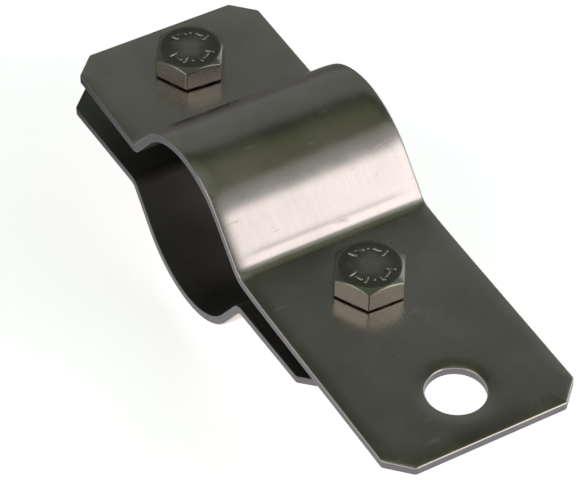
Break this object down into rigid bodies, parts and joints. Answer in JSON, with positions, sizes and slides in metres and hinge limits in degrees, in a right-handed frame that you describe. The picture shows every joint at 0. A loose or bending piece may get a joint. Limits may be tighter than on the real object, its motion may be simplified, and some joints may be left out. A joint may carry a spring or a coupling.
{
  "type": "earthing pipe clamp",
  "caption": "Two folded stainless half shells that grip a pipe between two hexagon bolts, with a long drilled tail for an earth conductor.",
  "frame": {"origin": "on the axis of the pipe seat, midway across the straps", "axes": "+X along the pipe, +Y away from the long tail, +Z towards the bolt heads"},
  "size_m": [0.05, 0.1567, 0.0485],
  "materials": {
    "strap_steel": "cold rolled stainless sheet, satin, handled, with pale sheared edges",
    "bolt_steel": "cold formed stainless, smooth, slightly yellow",
    "washer_steel": "spring steel, satin"
  },
  "bodies": {
    "upper_half": {"upper_strap": "strap_steel"},
    "lower_half": {"lower_strap": "strap_steel", "front_spring_washer": "washer_steel", "rear_spring_washer": "washer_steel", "front_nut": "bolt_steel", "rear_nut": "bolt_steel"},
    "front_bolt": {"front_bolt": "bolt_steel"},
    "rear_bolt": {"rear_bolt": "bolt_steel"}
  },
  "joints": [
    {"name": "front_bolt_turn", "type": "hinge", "parent": "upper_half", "child": "front_bolt", "pos_m": [0, -0.04251, 0], "axis": [0, 0, 1], "range_deg": [-1200, 840]},
    {"name": "rear_bolt_turn", "type": "hinge", "parent": "upper_half", "child": "rear_bolt", "pos_m": [0, 0.04251, 0], "axis": [0, 0, 1], "range_deg": [-1200, 840]},
    {"name": "lower_half_slide", "type": "slide", "parent": "upper_half", "child": "lower_half", "axis": [0, 0, -1], "range_m": [-0.005, 0.0035]}
  ],
  "couplings": [
    {"joint": "front_bolt_turn", "follows": "lower_half_slide", "rad_per_m": 4188.8},
    {"joint": "rear_bolt_turn", "follows": "lower_half_slide", "rad_per_m": 4188.8}
  ]
}
